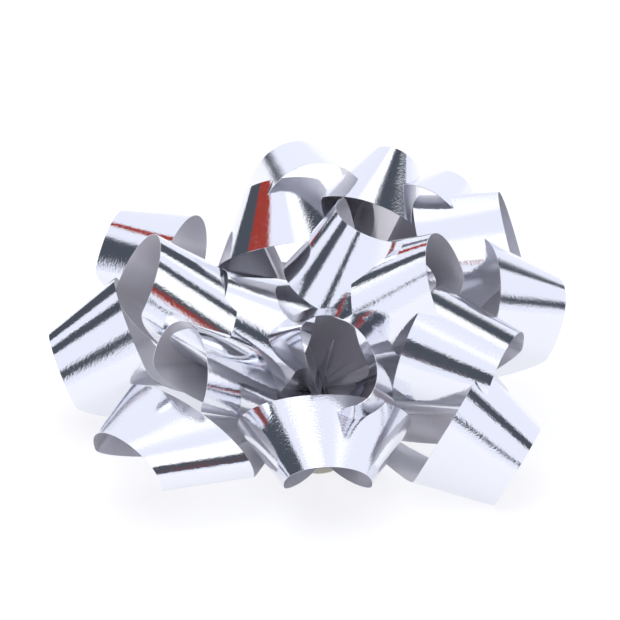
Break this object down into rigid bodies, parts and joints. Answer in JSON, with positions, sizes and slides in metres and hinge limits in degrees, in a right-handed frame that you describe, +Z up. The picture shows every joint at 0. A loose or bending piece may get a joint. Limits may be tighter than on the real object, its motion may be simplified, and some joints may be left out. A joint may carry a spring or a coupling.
{
  "type": "star gift bow",
  "caption": "Ready-made star gift bow: tiers of looped metallised film ribbon stapled to a card with a peel-off adhesive pad.",
  "frame": {"origin": "centre of the release liner's underside, on the pin axis, on the surface the bow stands on", "axes": "+Z up through the staple towards the crown loop, -Y towards the viewer and along the liner's pull tab, +X to the right"},
  "size_m": [0.105, 0.1043, 0.0463],
  "materials": {
    "foil_ribbon": "mirror-bright metallised polypropylene film outside, satin grey inside, fine embossed grain",
    "staple_wire": "drawn galvanised wire",
    "white_card": "uncoated white board",
    "foam": "white polyethylene foam with acrylic adhesive on both faces",
    "liner_paper": "glazed siliconised paper"
  },
  "bodies": {
    "bow": {"lower_loop_1": "foil_ribbon", "lower_loop_2": "foil_ribbon", "lower_loop_3": "foil_ribbon", "lower_loop_4": "foil_ribbon", "lower_loop_5": "foil_ribbon", "lower_loop_6": "foil_ribbon", "lower_loop_7": "foil_ribbon", "middle_loop_1": "foil_ribbon", "middle_loop_2": "foil_ribbon", "middle_loop_3": "foil_ribbon", "middle_loop_4": "foil_ribbon", "middle_loop_5": "foil_ribbon", "middle_loop_6": "foil_ribbon", "middle_loop_7": "foil_ribbon", "upper_loop_1": "foil_ribbon", "upper_loop_2": "foil_ribbon", "upper_loop_3": "foil_ribbon", "upper_loop_4": "foil_ribbon", "upper_loop_5": "foil_ribbon", "upper_loop_6": "foil_ribbon", "crown_loop": "foil_ribbon", "staple": "staple_wire", "backing_card": "white_card", "adhesive_pad": "foam"},
    "liner": {"release_liner": "liner_paper"}
  },
  "joints": [
    {"name": "liner_peel", "type": "slide", "parent": "bow", "child": "liner", "axis": [0, -1, 0], "range_m": [0, 0.045]}
  ]
}
